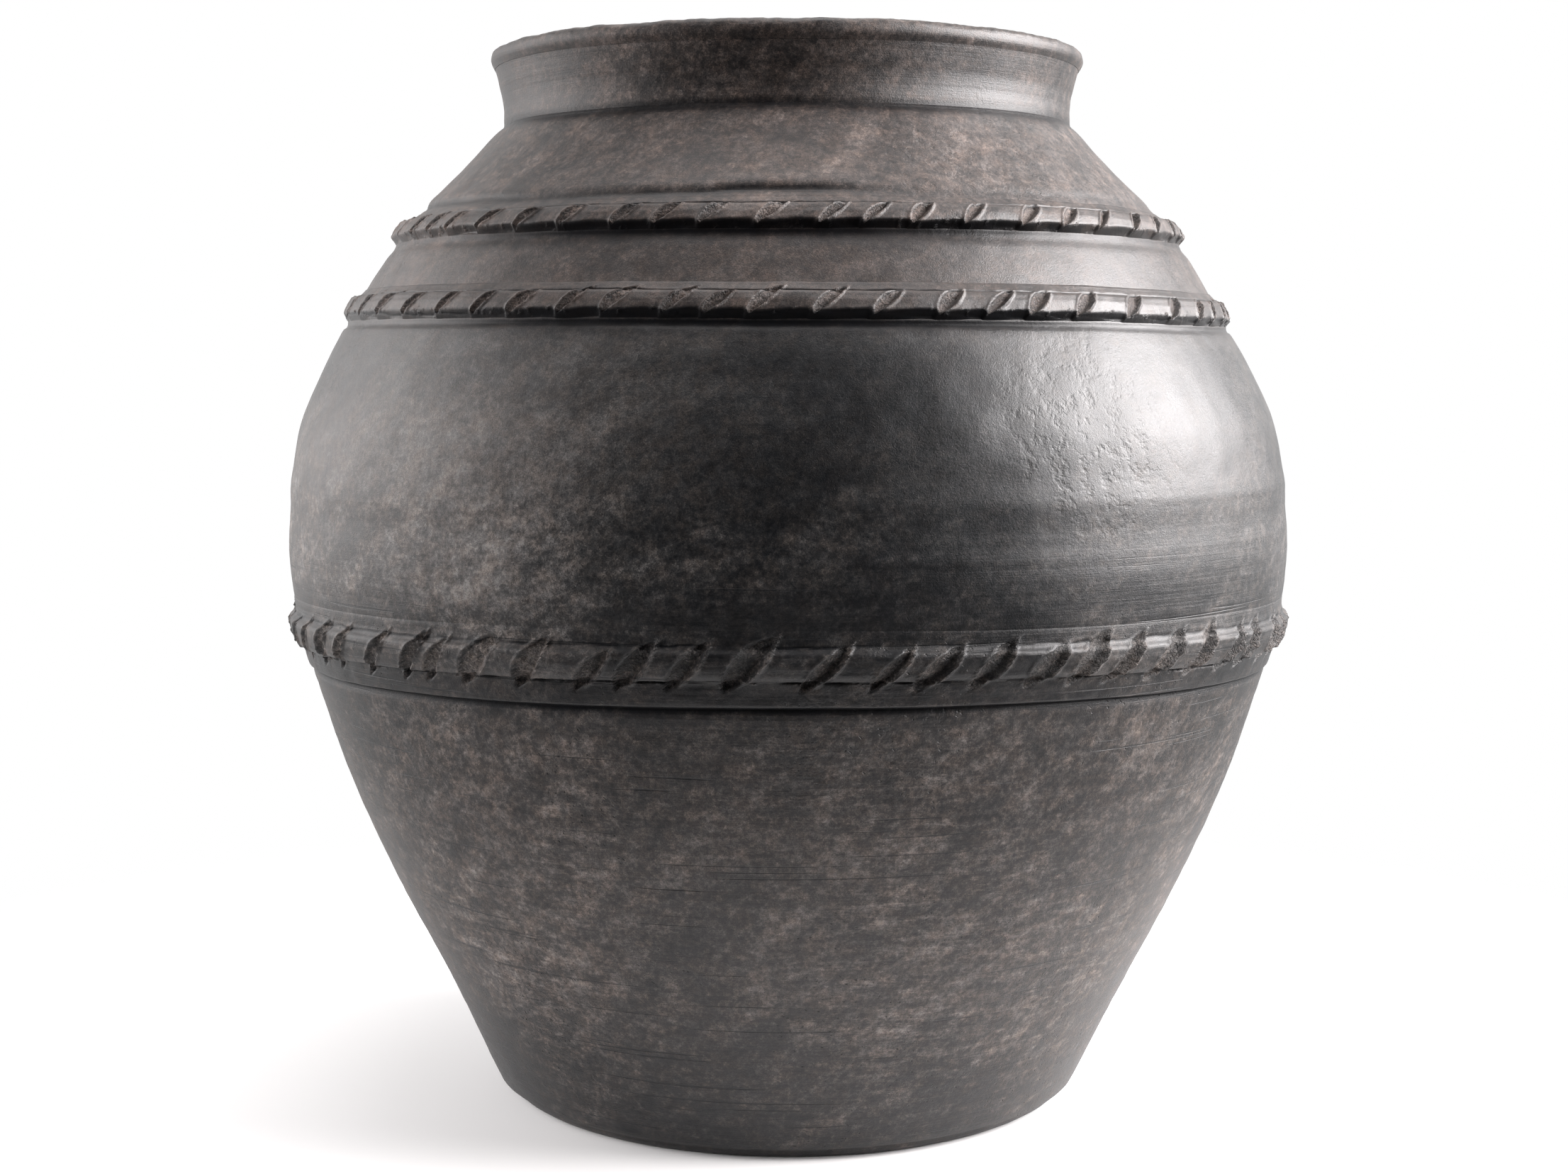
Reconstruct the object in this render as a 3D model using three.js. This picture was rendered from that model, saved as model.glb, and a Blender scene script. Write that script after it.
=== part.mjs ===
import * as THREE from 'three';

// A hand-built storage jar of black fired clay. Millimetres, +Z up, with the origin at the middle of
// the underside. The wall is a stack of clay courses luted together on slanting joints, the base slab
// sits inside the foot, and three notched strips are pressed into shallow seats round the outside.

// ---- Driving dimensions -------------------------------------------------------------------------

// Outer radius of the plain wall at each height, from the foot to the top of the neck.
const wallStations = [
  { z: 0, r: 131.5 },
  { z: 50, r: 156 },
  { z: 100, r: 181 },
  { z: 150, r: 202 },
  { z: 204, r: 217.5 },
  { z: 228, r: 223.5 },
  { z: 250, r: 226 },
  { z: 276, r: 224.5 },
  { z: 304, r: 219.5 },
  { z: 330, r: 208.5 },
  { z: 350, r: 197.5 },
  { z: 384, r: 176.5 },
  { z: 400, r: 163 },
  { z: 414, r: 149 },
  { z: 427, r: 136.5 },
  { z: 435, r: 129.5 },
  { z: 444, r: 127.8 },
  { z: 456, r: 130 },
  { z: 466, r: 132.5 },
];

// Heights on the outer face where one course of clay ends and the next begins.
const joint = {
  bandLower: 218, bellyLine: 276, bandMiddle: 354, bandUpper: 389, neckCrease: 436, underLip: 462,
};

const footThickness = 14; // wall thickness at the foot
const neckThickness = 10; // wall thickness at the top of the neck
const jointRise = 6; // how much higher a joint is on the inside than on the outside
const gap = 0.35; // clear space between two pieces that touch

const base = { thickness: 14, lowerRadius: 113, upperRadius: 117 };
const foot = { edgeRadius: 5, filletReach: 12 };
const lip = { top: 471, outerRadius: 133.5, width: 12.5, edgeRadius: 5.5 };

// Each applied strip: the joint it covers, the heights it lies between, where its notched ridge
// starts, how far ridge and apron stand off the wall, and its notches. The apron is a flat strip of
// smoothed clay below the ridge, and only the lowest strip has a wide one.
const bandSeatDepth = 1.5;
const bands = {
  band_lower: {
    over: 'bandLower', low: 203, ridge: 212, high: 228, apron: 1.2, proud: 4.2, notches: 64, depth: 3.6,
  },
  band_middle: {
    over: 'bandMiddle', low: 348, ridge: 348, high: 361, apron: 1.5, proud: 4, notches: 58, depth: 3,
  },
  band_upper: {
    over: 'bandUpper', low: 383, ridge: 383, high: 395.5, apron: 1.5, proud: 4, notches: 52, depth: 3,
  },
};
const notchWidthShare = 0.42; // width of a notch, as a share of the spacing
const notchLean = 0.9; // sideways travel of a notch for each millimetre that it climbs

const roundSegments = 48;

// ---- The wall's outline -------------------------------------------------------------------------

// A cubic through the stations, with each station's slope taken from its two neighbours.
function stationSlope(i) {
  const before = wallStations[Math.max(i - 1, 0)];
  const after = wallStations[Math.min(i + 1, wallStations.length - 1)];
  return (after.r - before.r) / (after.z - before.z);
}

function wallRadius(z) {
  const last = wallStations.length - 2;
  let i = wallStations.findIndex((station) => station.z > z) - 1;
  if (i < 0) i = z > 0 ? last : 0;
  const a = wallStations[i];
  const b = wallStations[i + 1];
  const span = b.z - a.z;
  const t = (z - a.z) / span;
  const t2 = t * t;
  const t3 = t2 * t;
  return (
    (2 * t3 - 3 * t2 + 1) * a.r +
    (t3 - 2 * t2 + t) * span * stationSlope(i) +
    (3 * t2 - 2 * t3) * b.r +
    (t3 - t2) * span * stationSlope(i + 1)
  );
}

// The point that lies `out` millimetres off the plain wall's outer face, square to it, at height z.
function offWall(z, out) {
  const step = 0.5;
  const slope = (wallRadius(z + step) - wallRadius(z - step)) / (2 * step);
  const length = Math.hypot(1, slope);
  return new THREE.Vector2(wallRadius(z) + out / length, z - (out * slope) / length);
}

const wallThickness = (z) => THREE.MathUtils.mapLinear(z, 0, joint.underLip, footThickness, neckThickness);
const outerPoint = (z) => offWall(z, 0);
const innerPoint = (z) => offWall(z, -wallThickness(z));
const range = (from, to, steps) =>
  Array.from({ length: steps + 1 }, (_, i) => from + ((to - from) * i) / steps);

// The points of an arc about (r, z) from one angle to another, in degrees.
function arc(r, z, radius, from, to, steps) {
  return range(from, to, steps).map((degrees) => {
    const angle = THREE.MathUtils.degToRad(degrees);
    return new THREE.Vector2(r + radius * Math.cos(angle), z + radius * Math.sin(angle));
  });
}

// ---- Turned solids ------------------------------------------------------------------------------

// Revolves an outline given anticlockwise in (radius, height) about Z.
function turn(outline, segments = roundSegments) {
  const geometry = new THREE.LatheGeometry([...outline, outline[0]], segments);
  return geometry.rotateX(Math.PI / 2);
}

// The two ends of the seat of a strip that a course passes under: half of each seat lies on the
// course below the joint and half on the course above it.
const seatTop = (band) => [offWall(band.high, -bandSeatDepth), outerPoint(band.high + 1)];
const seatBottom = (band) => [outerPoint(band.low - 1), offWall(band.low, -bandSeatDepth)];

// The outline of one course between two joints: the outer face from the bottom up, then the inner
// face back down. A strip's seat opens at the bottom, the top, or both.
function courseOutline({ from, to, outerSteps, innerSteps, bandBelow, bandAbove }) {
  const seatDepthAt = (band) => (band ? -bandSeatDepth : 0);
  const low = bandBelow ? bandBelow.high + 1 : from;
  const high = bandAbove ? bandAbove.low - 1 : to;
  const outline = [offWall(from + gap / 2, seatDepthAt(bandBelow))];
  if (bandBelow) outline.push(...seatTop(bandBelow));
  outline.push(...range(low, high, outerSteps).slice(1, -1).map(outerPoint));
  if (bandAbove) outline.push(...seatBottom(bandAbove));
  outline.push(offWall(to - gap / 2, seatDepthAt(bandAbove)));
  outline.push(...range(to + jointRise - gap / 2, from + jointRise + gap / 2, innerSteps).map(innerPoint));
  return outline;
}

// ---- Pieces -------------------------------------------------------------------------------------

const baseOutline = () => [
  new THREE.Vector2(0, 0),
  new THREE.Vector2(base.lowerRadius, 0),
  new THREE.Vector2(base.upperRadius, base.thickness),
  new THREE.Vector2(0, base.thickness),
];

// The lowest course stands on the ground round the base slab, and its inside runs out onto the slab.
function lowerWallOutline() {
  const edge = foot.edgeRadius;
  const floorTop = base.thickness;
  const to = joint.bandLower;
  return [
    new THREE.Vector2(base.lowerRadius + gap, 0),
    ...arc(wallRadius(0) - edge, edge, edge, -90, -20, 2),
    ...range(floorTop, bands.band_lower.low - 1, 6).slice(0, -1).map(outerPoint),
    ...seatBottom(bands.band_lower),
    offWall(to - gap / 2, -bandSeatDepth),
    ...range(to + jointRise - gap / 2, floorTop + 2 * foot.filletReach, 5).map(innerPoint),
    new THREE.Vector2(innerPoint(floorTop + foot.filletReach).x - 2, floorTop + foot.filletReach / 2),
    new THREE.Vector2(base.upperRadius + gap, floorTop),
  ];
}

// The lip is a thick coil with rounded corners, set on the slanting top of the neck.
function lipOutline() {
  const edge = lip.edgeRadius;
  const outerCentre = lip.outerRadius - edge;
  const innerCentre = lip.outerRadius - lip.width + edge;
  return [
    outerPoint(joint.underLip + gap / 2),
    ...arc(outerCentre, lip.top - edge, edge, -15, 90, 3),
    ...arc(innerCentre, lip.top - edge, edge, 90, 165, 2),
    innerPoint(joint.underLip + jointRise / 2 + gap / 2),
  ];
}

// The neck's outer joints are those of any course, but its top slants only half as much.
function neckOutline() {
  const from = joint.neckCrease;
  const to = joint.underLip;
  return [
    ...range(from + gap / 2, to - gap / 2, 5).map(outerPoint),
    ...range(to + jointRise / 2 - gap / 2, from + jointRise + gap / 2, 3).map(innerPoint),
  ];
}

// An applied strip: its back lies in the seat, and its apron and ridge stand off the wall.
function bandOutline(band) {
  const back = gap - bandSeatDepth;
  const ridgeSpan = band.high - band.ridge;
  const apron = band.ridge > band.low ? [offWall(band.ridge, band.apron)] : [];
  return [
    offWall(joint[band.over], back),
    offWall(band.low + gap, back),
    offWall(band.low + gap, band.apron),
    ...apron,
    offWall(band.ridge + 0.2 * ridgeSpan, band.proud),
    offWall(band.ridge + 0.65 * ridgeSpan, band.proud),
    offWall(band.high - gap, back),
  ];
}

// Presses the notches into a turned strip. Every notch has three columns of vertices, its left edge,
// its floor and its right edge. All are moved sideways with height so that the notch leans, and the
// two rows of the ridge's crest are pushed in at the floor.
function pressNotches(geometry, band, rows) {
  const position = geometry.attributes.position;
  const columns = 3 * band.notches;
  const pitch = (2 * Math.PI) / band.notches;
  const middle = (band.ridge + band.high) / 2;
  const crestRows = [rows - 4, rows - 3];
  for (let i = 0; i < position.count; i++) {
    const column = Math.floor(i / rows) % columns;
    const row = (i % rows) % (rows - 1);
    const place = (column % 3) - 1;
    const z = position.getZ(i);
    const depth = place === 0 && crestRows.includes(row) ? band.depth : 0;
    const radius = Math.hypot(position.getX(i), position.getY(i)) - depth;
    const lean = (notchLean * (z - middle)) / radius;
    const angle = (Math.floor(column / 3) + (place * notchWidthShare) / 2) * pitch + lean;
    position.setXYZ(i, radius * Math.sin(angle), -radius * Math.cos(angle), z);
  }
  return geometry;
}

function bandGeometry(band) {
  const outline = bandOutline(band);
  const geometry = turn(outline, 3 * band.notches);
  return pressNotches(geometry, band, outline.length + 1);
}

// ---- Assembly -----------------------------------------------------------------------------------

const clay = { color: 0x3a3635, roughness: 0.55, metalness: 0 };
const burnishedClay = { color: 0x2c2a2b, roughness: 0.42, metalness: 0 };

const jar = new THREE.Group();

function addPiece(name, geometry, finish) {
  const mesh = new THREE.Mesh(geometry, new THREE.MeshStandardMaterial(finish));
  mesh.name = name;
  jar.add(mesh);
}

const courses = {
  belly_lower_wall: {
    from: joint.bandLower, to: joint.bellyLine, bandBelow: bands.band_lower, outerSteps: 4, innerSteps: 3,
  },
  belly_upper_wall: {
    from: joint.bellyLine, to: joint.bandMiddle, bandAbove: bands.band_middle, outerSteps: 6, innerSteps: 4,
  },
  shoulder_ring: {
    from: joint.bandMiddle, to: joint.bandUpper, outerSteps: 3, innerSteps: 2,
    bandBelow: bands.band_middle, bandAbove: bands.band_upper,
  },
  upper_shoulder: {
    from: joint.bandUpper, to: joint.neckCrease, bandBelow: bands.band_upper, outerSteps: 5, innerSteps: 4,
  },
};

addPiece('base_disc', turn(baseOutline()), clay);
addPiece('lower_wall', turn(lowerWallOutline()), clay);
for (const [name, course] of Object.entries(courses)) addPiece(name, turn(courseOutline(course)), clay);
addPiece('neck', turn(neckOutline()), clay);
addPiece('lip', turn(lipOutline()), clay);
for (const [name, band] of Object.entries(bands)) addPiece(name, bandGeometry(band), burnishedClay);

export default jar;
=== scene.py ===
import math

import bpy
import numpy as np
from mathutils import Matrix, Vector


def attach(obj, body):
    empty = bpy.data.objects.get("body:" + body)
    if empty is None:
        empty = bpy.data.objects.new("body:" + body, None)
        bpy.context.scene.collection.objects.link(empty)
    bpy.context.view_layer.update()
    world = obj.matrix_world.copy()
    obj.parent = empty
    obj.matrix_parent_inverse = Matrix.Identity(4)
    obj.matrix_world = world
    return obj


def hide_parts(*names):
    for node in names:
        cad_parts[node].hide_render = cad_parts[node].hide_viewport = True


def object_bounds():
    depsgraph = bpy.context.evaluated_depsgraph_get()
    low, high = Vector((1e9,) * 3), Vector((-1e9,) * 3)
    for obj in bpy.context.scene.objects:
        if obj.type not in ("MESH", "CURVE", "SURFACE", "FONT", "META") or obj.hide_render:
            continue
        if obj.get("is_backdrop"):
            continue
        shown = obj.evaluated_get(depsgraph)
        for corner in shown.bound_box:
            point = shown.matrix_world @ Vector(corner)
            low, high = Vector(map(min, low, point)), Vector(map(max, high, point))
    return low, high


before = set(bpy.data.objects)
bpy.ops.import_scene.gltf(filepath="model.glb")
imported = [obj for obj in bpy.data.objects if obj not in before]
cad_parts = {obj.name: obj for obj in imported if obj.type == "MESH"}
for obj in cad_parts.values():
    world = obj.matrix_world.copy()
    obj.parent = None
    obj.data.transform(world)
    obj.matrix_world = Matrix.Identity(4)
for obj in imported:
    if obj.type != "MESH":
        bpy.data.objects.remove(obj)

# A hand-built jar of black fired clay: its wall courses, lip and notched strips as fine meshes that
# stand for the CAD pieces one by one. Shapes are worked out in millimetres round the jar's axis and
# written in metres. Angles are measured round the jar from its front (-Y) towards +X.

cad_low, cad_high = (list(corner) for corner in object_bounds())

MM = 0.001
TAU = 2 * math.pi

# ---- Driving dimensions, in millimetres ---------------------------------------------------------

# Outer radius of the plain wall at each height, from the foot to the top of the neck.
WALL_STATIONS = [
    (0, 131.5), (50, 156), (100, 181), (150, 202), (204, 217.5), (228, 223.5), (250, 226),
    (276, 224.5), (304, 219.5), (330, 208.5), (350, 197.5), (384, 176.5), (400, 163), (414, 149),
    (427, 136.5), (435, 129.5), (444, 127.8), (456, 130), (466, 132.5), (480, 136),
]
JOINT = {"band_lower": 218, "belly": 276, "band_middle": 354, "band_upper": 389, "neck": 436, "lip": 462}
FOOT_THICKNESS = 14
NECK_THICKNESS = 10
JOINT_RISE = 6
JOINT_GAP = 0.3
SEAT_DEPTH = 1.6
NOTCH_REACH = 32
BASE_THICKNESS = 14
BASE_LOWER_RADIUS = 113
BASE_UPPER_RADIUS = 117
LIP_TOP = 471
LIP_OUTER_RADIUS = 133.5
LIP_WIDTH = 12.5

# Columns of vertices round the plain courses, and round the tall lowest one.
WALL_COLUMNS = 760
LOWER_WALL_COLUMNS = 590

# Heights of the marks that run round the finished wall.
NECK_CREASE = 436.0
SHOULDER_GROOVE = 398.6
HOLLOW_BELOW = {"band_upper": 380.8, "band_middle": 346.7, "band_lower": 202.1}
BELLY_RIDGE = 279
BELLY_HOLLOW = 266

# Each applied strip. Low is the height of its lower edge; distances up the wall are taken from there,
# and they place the seat, the lower edge of the raised face (crest) and the finer rows of vertices.
# The section lists (distance up the wall, distance off the wall). Leaf-shaped notches are pressed
# across it and cracks run along it, each given as (place, width, depth). The gaps lie between the
# notches' lower tips, from the first one, at an angle in degrees, towards the right.
BANDS = {
    "band_upper": {
        "low": 383.4, "seat": (0.8, 15.6), "crest": 1.5, "overhang": 1.0,
        "rows": 0.55, "fine": [(0.9, 1.2, 0.35), (10.8, 1.5, 0.35)], "columns": 2000,
        "section": [(-1.3, -0.9), (-0.3, -0.5), (0, 0.1), (0.5, 1.7), (1.0, 3.3), (1.5, 3.75), (5, 4.1),
                    (8.4, 3.95), (9.7, 3.5), (10.1, 2.2), (12, 1.3), (14.5, 0.6), (16, 0.3), (17.3, -0.7)],
        "cracks": [(11.4, 0.4, 1.1)],
        "notch": {"tip": (0, 0.4), "run": (12.5, 10.8), "width": 4.0, "depth": 2.2, "burr": 0.6},
        "gaps": [17, 21, 22, 22, 23.5, 16.5, 18.5, 21.5, 23, 16.5, 18.5, 21, 25, 20, 21, 24, 21.5, 25],
        "first": -58,
    },
    "band_middle": {
        "low": 348.4, "seat": (0.8, 15.8), "crest": 2.4, "overhang": 1.0,
        "rows": 0.55, "fine": [(1.4, 1.2, 0.35), (11.7, 1.2, 0.35)], "columns": 2100,
        "section": [(-1.3, -0.9), (-0.3, -0.5), (0, 0.1), (0.7, 1.5), (1.6, 2.7), (2.4, 3.3), (6.5, 3.8),
                    (9.6, 3.6), (11.0, 2.9), (11.4, 1.7), (13, 1.0), (14.5, 0.6), (16, 0.3), (17.3, -0.7)],
        "cracks": [(11.7, 0.45, 0.9), (1.5, 0.35, 0.35)],
        "notch": {"tip": (0, 0.8), "run": (12.8, 11.6), "width": 4.4, "depth": 2.3, "burr": 0.7},
        "gaps": [24, 24, 21, 18, 23, 19, 24, 15, 17, 24, 22, 25, 19, 18, 22, 27, 30, 25, 19],
        "first": -59,
    },
    "band_lower": {
        "low": 202.8, "seat": (0.8, 30.5), "crest": 11.2, "overhang": 0,
        "rows": 1.0, "fine": [(0.2, 1.4, 0.35), (11, 1.6, 0.35), (18, 8, 0.5)], "columns": 1520,
        "section": [(-1.3, -1.2), (-0.3, -1.1), (0, -0.9), (0.5, 0.8), (2, 1.0), (10, 1.1), (10.8, 1.3),
                    (11.8, 2.9), (14, 3.9), (18, 4.3), (21.9, 4.0), (23.1, 3.3), (23.8, 1.5), (25.2, 0.8),
                    (26.5, 0.4), (30.5, 0.12), (31.8, -0.7)],
        "cracks": [(11.0, 0.55, 1.0), (25.0, 0.4, 0.35)],
        "notch": {"tip": (-1.8, 6.8), "run": (18.5, 20.0), "width": 7.4, "depth": 3.1, "burr": 1.1},
        "gaps": [22, 21, 26, 25, 14, 20, 26, 25, 17, 20, 22, 29, 26, 17, 22, 23, 19, 17, 22, 25, 23, 18, 27],
        "first": -67.5,
    },
}


# ---- Smooth random fields -----------------------------------------------------------------------

def lattice_value(ix, iy, iz, seed):
    """A repeatable random number from -1 to 1 for each lattice point."""
    h = ix * 73856093 ^ iy * 19349663 ^ iz * 83492791 ^ (seed * 2654435761 % 2147483647)
    h = (h ^ (h >> 13)) * 1274126177
    h = h ^ (h >> 16)
    return (h & 0xFFFF) / 32767.5 - 1


def noise(x, y, z, seed):
    """Smooth noise from about -1 to 1 at points in lattice units."""
    x, y, z = np.broadcast_arrays(x, y, z)
    cells = [np.floor(v).astype(np.int64) for v in (x, y, z)]
    parts = [v - c for v, c in zip((x, y, z), cells)]
    eased = [p * p * p * (p * (p * 6 - 15) + 10) for p in parts]
    total = np.zeros(x.shape)
    for dx in (0, 1):
        for dy in (0, 1):
            for dz in (0, 1):
                weight = eased[0] if dx else 1 - eased[0]
                weight = weight * (eased[1] if dy else 1 - eased[1])
                weight = weight * (eased[2] if dz else 1 - eased[2])
                total += weight * lattice_value(cells[0] + dx, cells[1] + dy, cells[2] + dz, seed)
    return total


def fractal(x, y, z, seed, octaves):
    """Noise summed over octaves, each half as strong and about twice as fine."""
    total = 0
    for octave in range(octaves):
        k = 2.03**octave
        total = total + noise(x * k + 7.1 * octave, y * k - 3.7 * octave, z * k, seed + octave) / 2**octave
    return total


def around(theta, height, radius, size, stretch=1.0):
    """Coordinates for a field on the wall whose marks are size tall and stretch times as wide."""
    wide = size * stretch
    return radius * np.sin(theta) / wide, radius * np.cos(theta) / wide, height / size


def bell(distance, reach):
    return np.exp(-((distance / reach) ** 2))


def ramp(value, low, high):
    """0 below low, 1 above high and a smooth step between."""
    t = np.clip((value - low) / (high - low), 0, 1)
    return t * t * (3 - 2 * t)


# ---- The wall's shape ---------------------------------------------------------------------------

STATION_Z = np.array([z for z, _ in WALL_STATIONS], float)
STATION_R = np.array([r for _, r in WALL_STATIONS], float)
STATION_ABOVE = np.minimum(np.arange(len(STATION_R)) + 1, len(STATION_R) - 1)
STATION_BELOW = np.maximum(np.arange(len(STATION_R)) - 1, 0)
STATION_SLOPE = (STATION_R[STATION_ABOVE] - STATION_R[STATION_BELOW]) / (
    STATION_Z[STATION_ABOVE] - STATION_Z[STATION_BELOW])


def wall_radius(z):
    """Outer radius of the plain wall at height z, by a cubic through the stations."""
    z = np.asarray(z, float)
    i = np.clip(np.searchsorted(STATION_Z, z, side="right") - 1, 0, len(STATION_Z) - 2)
    span = STATION_Z[i + 1] - STATION_Z[i]
    t = (z - STATION_Z[i]) / span
    t2, t3 = t * t, t * t * t
    return (
        (2 * t3 - 3 * t2 + 1) * STATION_R[i]
        + (t3 - 2 * t2 + t) * span * STATION_SLOPE[i]
        + (3 * t2 - 2 * t3) * STATION_R[i + 1]
        + (t3 - t2) * span * STATION_SLOPE[i + 1]
    )


def wall_normal(z):
    slope = wall_radius(z + 0.5) - wall_radius(z - 0.5)
    length = np.hypot(1, slope)
    return 1 / length, -slope / length


def wall_thickness(z):
    return FOOT_THICKNESS + (NECK_THICKNESS - FOOT_THICKNESS) * z / JOINT["lip"]


def height_up_wall(low, distance):
    """Height of the point that lies distance up the wall's face from height low."""
    z = np.full(np.shape(distance), float(low))
    for _ in range(6):
        steps = np.linspace(0, 1, 9)[1:-1]
        normals = [wall_normal(low + (z - low) * s) for s in steps]
        length = sum(np.hypot(1, -up / out) for out, up in normals) / len(steps)
        z = low + distance / length
    return z


def bend(theta, radius, height):
    """The jar's own slight unevenness: out of round by under a millimetre, and strips that wander."""
    off_floor = ramp(height, 5, 60)
    radius = radius + off_floor * (
        0.7 * np.sin(2 * theta + 0.6) + 0.4 * np.sin(3 * theta + 2.0 + height / 90)
        + 0.5 * noise(np.sin(theta) * 1.3, np.cos(theta) * 1.3, height / 80, 11)
    )
    height = height - 5 * np.sin(theta) ** 2 * bell(height - 214, 34)
    height = height - 1.2 * np.sin(theta) * bell(height - 352, 20) * off_floor
    height = height + 0.5 * noise(np.sin(theta) * 2.2, np.cos(theta) * 2.2, height / 60, 12) * off_floor
    height = height - (0.9 + 0.9 * np.cos(theta) + 0.6 * np.sin(theta)) * ramp(height, 445, 468)
    return radius, height


def wander(theta, z):
    """A slow and a quick wave round the jar, by which its creases stray up and down."""
    slow = noise(np.sin(theta) * 3, np.cos(theta) * 3, z / 200, 24)
    quick = noise(np.sin(theta) * 9, np.cos(theta) * 9, z / 200, 25)
    return slow, quick


def groove_fade(theta):
    """The groove on the shoulder dies away towards the right."""
    return 1 - 0.8 * ramp(np.sin(theta), 0.05, 0.35)


def outer_relief(theta, z):
    """How far the finished outer face stands off the plain wall, at each angle and height."""
    radius = wall_radius(z)
    burnished = ramp(z, 268, 290) * (1 - ramp(z, 430, 438))
    relief = 0.5 * fractal(*around(theta, z, radius, 70, 1.3), 21, 2)
    relief = relief + 0.24 * fractal(*around(theta, z, radius, 17, 1.0), 22, 2) * (0.4 + 0.6 * burnished)
    lines = fractal(*around(theta, z, radius, 3.4, 55), 23, 2)
    relief = relief + 0.1 * lines * (1 - 0.75 * burnished)
    slow, quick = wander(theta, z)
    crease = z - NECK_CREASE - slow
    relief = relief - 0.9 * bell(crease, 2.6) + 0.35 * bell(crease + 5, 3)
    groove = z - SHOULDER_GROOVE - 0.9 * slow - 0.5 * quick
    relief = relief - 1.2 * bell(groove, 1.4) * (0.75 + 0.4 * slow) * groove_fade(theta)
    relief = relief + 0.35 * bell(groove - 3.4, 2.4) * groove_fade(theta)
    relief = relief - 0.6 * bell(z - HOLLOW_BELOW["band_upper"], 2.4)
    relief = relief - 1.0 * bell(z - HOLLOW_BELOW["band_middle"], 1.2)
    relief = relief - 1.1 * bell(z - HOLLOW_BELOW["band_lower"], 0.9)
    relief = relief + 0.5 * bell(z - BELLY_RIDGE, 6) - 0.35 * bell(z - BELLY_HOLLOW, 7)
    return relief


def wall_painted_shading(theta, z):
    """Painted shading on the wall: painted shade in the creases and in the hollows under the strips, a
    darker neck, and painted shade across the mid belly, deepest at the front and weaker on the left. Below 0
    it
    is painted light: a paler patch on the left of the belly."""
    slow, quick = wander(theta, z)
    patchy = fractal(*around(theta, z, 210, 40, 1.4), 26, 4)
    painted_shading = 0.65 * bell(z - NECK_CREASE + 0.4 - slow, 2.6)
    groove = bell(z - SHOULDER_GROOVE - 0.9 * slow - 0.5 * quick, 1.5) * (0.8 + 0.5 * slow)
    painted_shading = np.maximum(painted_shading, 0.7 * groove * groove_fade(theta))
    under = painted_shade_side(theta)
    hollow = z - HOLLOW_BELOW["band_upper"]
    painted_shading = np.maximum(painted_shading, under * (0.8 * bell(hollow - 1.4, 1.2) + 0.3 * bell(hollow + 0.8, 4)))
    hollow = z - HOLLOW_BELOW["band_middle"]
    painted_shading = np.maximum(painted_shading, under * (0.9 * bell(hollow - 0.1, 1.1) + 0.3 * bell(hollow + 2.2, 4)))
    hollow = z - HOLLOW_BELOW["band_lower"]
    painted_shading = np.maximum(painted_shading, 0.95 * bell(hollow - 0.2, 0.9) + 0.14 * bell(hollow + 3.1, 6))
    painted_shading = np.maximum(painted_shading, 0.22 * ramp(z, NECK_CREASE + 1, NECK_CREASE + 5) * (0.7 + 0.6 * slow))
    belly = ramp(z, 204, 216) * (1 - ramp(z, 330, 352))
    # Painted shade across the belly, deepest at the front.
    middle = np.clip(np.cos(theta - 0.12), 0, 1) ** 8
    belly = belly * (0.17 + 0.1 * slow + 0.14 * patchy + 0.22 * middle + 0.06 * bell(z - 238, 26))
    belly = belly * (1 - 0.75 * ramp(-np.sin(theta), 0.05, 0.45))
    # Painted light on the left of the belly.
    painted_light = ramp(-np.sin(theta), -0.05, 0.45) * ramp(z, 233, 246) * (1 - ramp(z, 300, 335))
    return np.maximum(painted_shading, belly) - 0.32 * painted_light


def painted_shade_side(theta):
    """Painted shade on the undersides of the strips, weaker towards the left and the right."""
    across = np.sin(theta)
    return (0.2 + 0.8 * ramp(across, -0.8, -0.4)) * (1 - 0.6 * ramp(across, 0.4, 0.75))


def inner_relief(theta, z):
    """Finger ridges and unevenness of the inner face; positive is towards the axis."""
    radius = wall_radius(z) - 12
    ridges = np.sin(TAU * z / 15 + 0.8 * noise(np.sin(theta) * 2, np.cos(theta) * 2, z / 40, 31))
    relief = 0.55 * ridges * (0.7 + 0.3 * noise(np.sin(theta) * 3, np.cos(theta) * 3, z / 30, 32))
    relief = relief + 0.5 * fractal(*around(theta, z, radius, 30, 2.0), 33, 2)
    return relief * ramp(z, 20, 40) * (1 - ramp(z, 455, 464))


def seat_depth(z):
    """Depth of the shallow seats that the strips are pressed into."""
    depth = 0
    for band in BANDS.values():
        low, high = (height_up_wall(band["low"], d) for d in band["seat"])
        inside = ramp(z, low - 0.25, low + 0.25) * (1 - ramp(z, high - 0.25, high + 0.25))
        depth = depth + SEAT_DEPTH * inside
    return depth


# ---- Meshes -------------------------------------------------------------------------------------

def angles(columns):
    return np.arange(columns) * TAU / columns


def heights(low, high, step, fine=()):
    """Row heights from low to high: step apart, and closer round each (height, reach, step) in fine."""
    rows = [low]
    while rows[-1] < high:
        here = rows[-1]
        size = min([step] + [s for z, reach, s in fine if abs(here + s / 2 - z) < reach])
        rows.append(here + size)
    rows = np.array(rows)
    return low + (rows - low) * (high - low) / (rows[-1] - low)


def outer_rows(z, columns=WALL_COLUMNS):
    theta = angles(columns)[None, :]
    z = np.asarray(z, float)[:, None]
    off = outer_relief(theta, z) - seat_depth(z)
    normal = wall_normal(z)
    return wall_radius(z) + off * normal[0], z + off * normal[1] + 0 * theta


def inner_rows(z, columns=WALL_COLUMNS):
    theta = angles(columns)[None, :]
    z = np.asarray(z, float)[:, None]
    off = -wall_thickness(z) - inner_relief(theta, z)
    normal = wall_normal(z)
    return wall_radius(z) + off * normal[0], z + off * normal[1] + 0 * theta


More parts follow.
